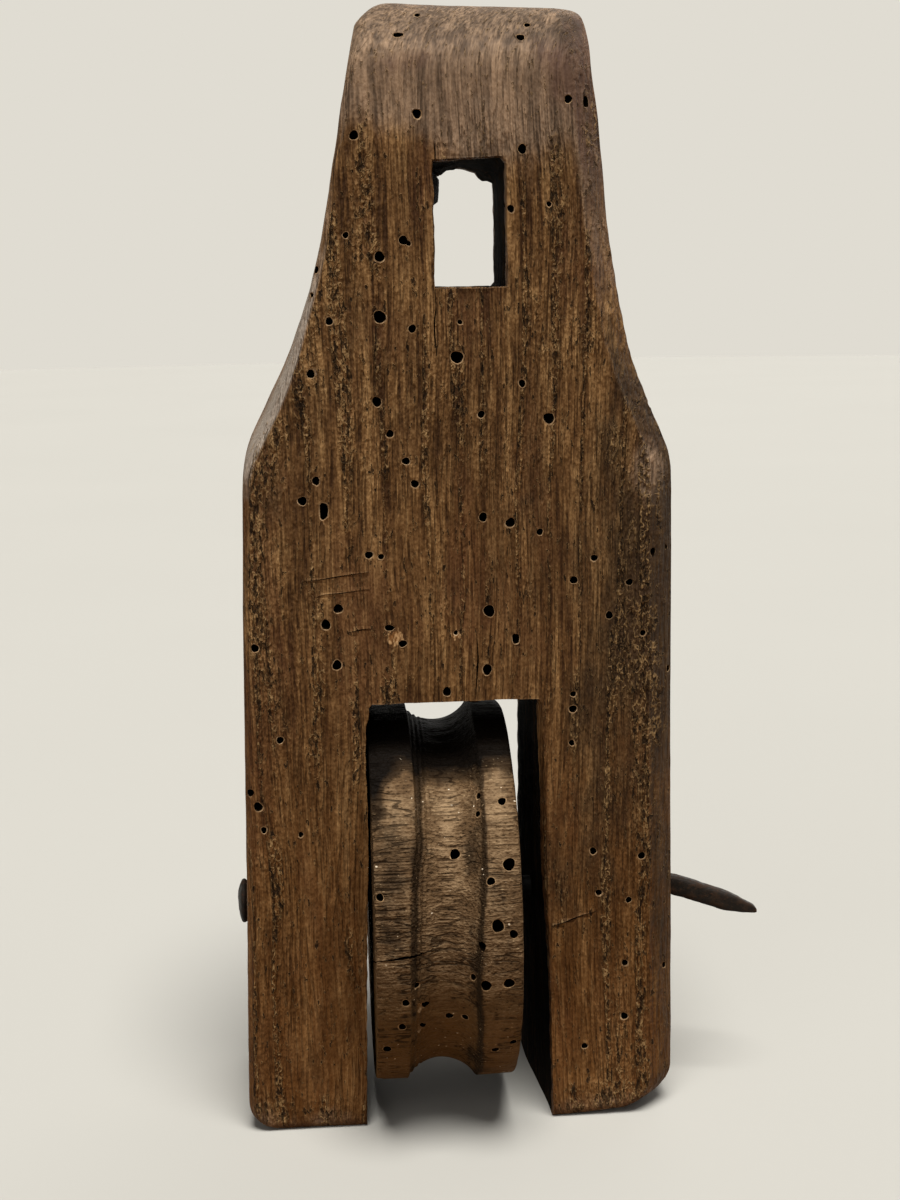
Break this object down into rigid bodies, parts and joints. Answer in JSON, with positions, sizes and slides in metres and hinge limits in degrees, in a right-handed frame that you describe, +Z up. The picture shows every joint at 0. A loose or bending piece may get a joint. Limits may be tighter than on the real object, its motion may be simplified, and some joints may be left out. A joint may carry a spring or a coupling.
{
  "type": "wooden pulley block",
  "caption": "Hand-carved wooden pulley block with a rope eye in its crown and a grooved wooden wheel between two cheeks on a bent forged nail.",
  "frame": {"origin": "on the plane of the two feet, midway between the cheeks at the roof of the wheel slot and at the middle of the plank's thickness", "axes": "+Z up through the crown, +X across the cheeks along the wheel's axis towards the nail's bent tail, +Y through the plank towards its back"},
  "size_m": [0.1302, 0.093, 0.2618],
  "materials": {
    "shell_wood": "bare, dark and worn, with open pores and woodworm holes",
    "sheave_wood": "bare, greyed and rope-worn, with fine ripples",
    "forged_iron": "hammered and lightly rusted"
  },
  "bodies": {
    "block": {"shell": "shell_wood", "axle_nail": "forged_iron"},
    "wheel": {"sheave": "sheave_wood"}
  },
  "joints": [
    {"name": "sheave_spin", "type": "hinge", "parent": "block", "child": "wheel", "pos_m": [-0.00352, 0, 0.0511], "axis": [1, 0, 0], "continuous": true}
  ]
}
